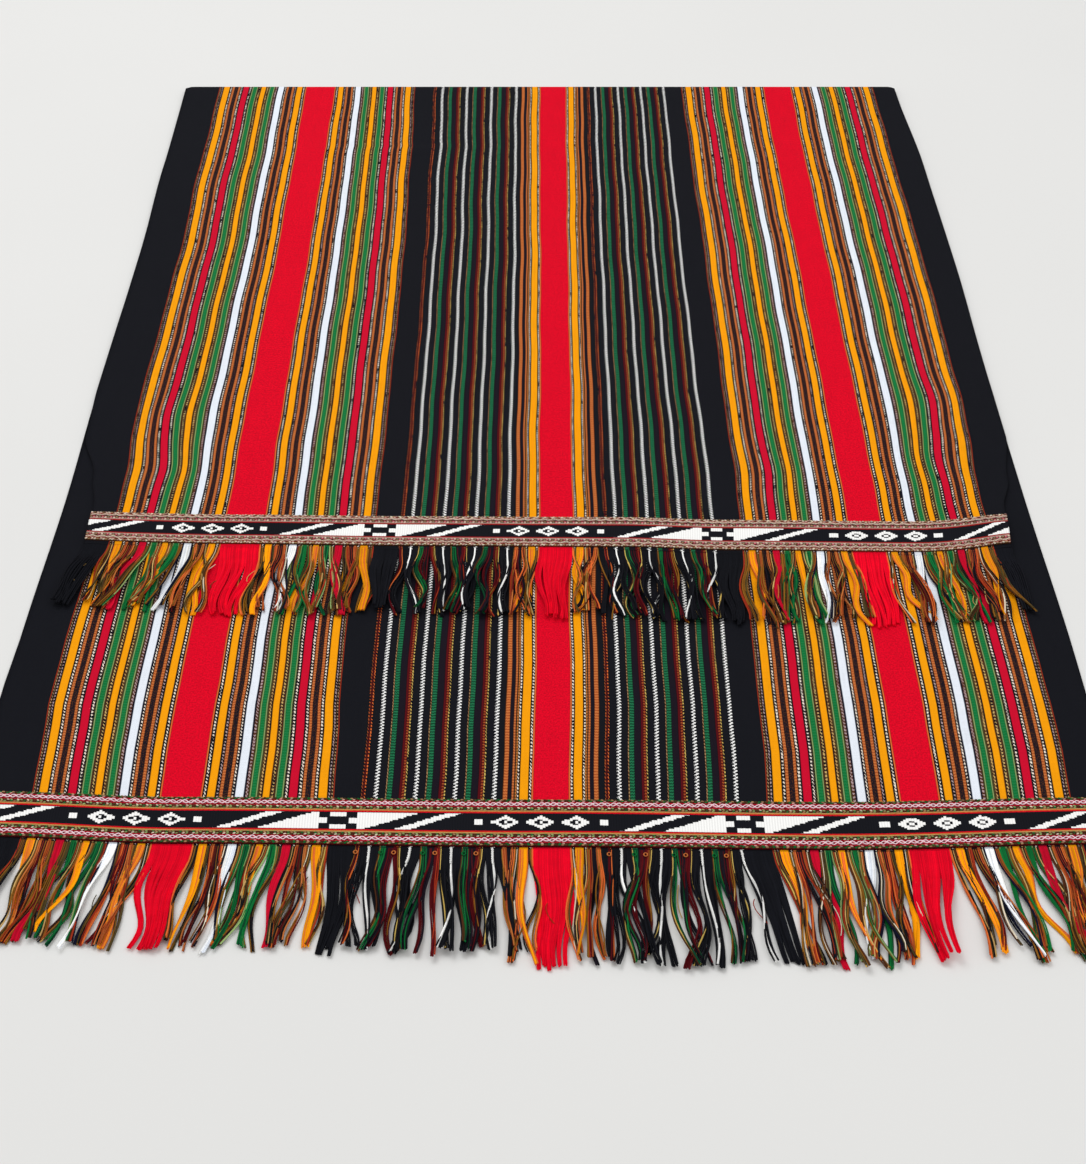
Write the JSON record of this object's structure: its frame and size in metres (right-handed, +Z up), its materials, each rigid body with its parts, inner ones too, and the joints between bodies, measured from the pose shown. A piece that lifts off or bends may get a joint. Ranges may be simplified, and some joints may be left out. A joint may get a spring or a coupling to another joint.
{
  "type": "aso oke wrapper",
  "caption": "Striped hand-woven wrapper cloth folded once, with a patterned band and a long warp fringe at each end.",
  "frame": {"origin": "under the middle of the folded cloth, on the surface it rests on", "axes": "+Y towards the fold, +Z up, +X to the right of someone at the front fringe who looks towards the fold"},
  "size_m": [0.8064, 1.3861, 0.0092],
  "materials": {
    "striped_cloth": "matt woven cotton, black ground with red, yellow, green, white and rust warp stripes",
    "band": "black and white patterned weave between twined red, white, green and gold edgings",
    "front_fringe": "loose warp yarns in the colours of the stripes",
    "flap_fringe": "loose warp yarns in the colours of the stripes"
  },
  "bodies": {
    "root": {"striped_cloth": "striped_cloth", "front_band": "band", "flap_band": "band", "front_fringe": "front_fringe", "flap_fringe": "flap_fringe"}
  },
  "joints": []
}
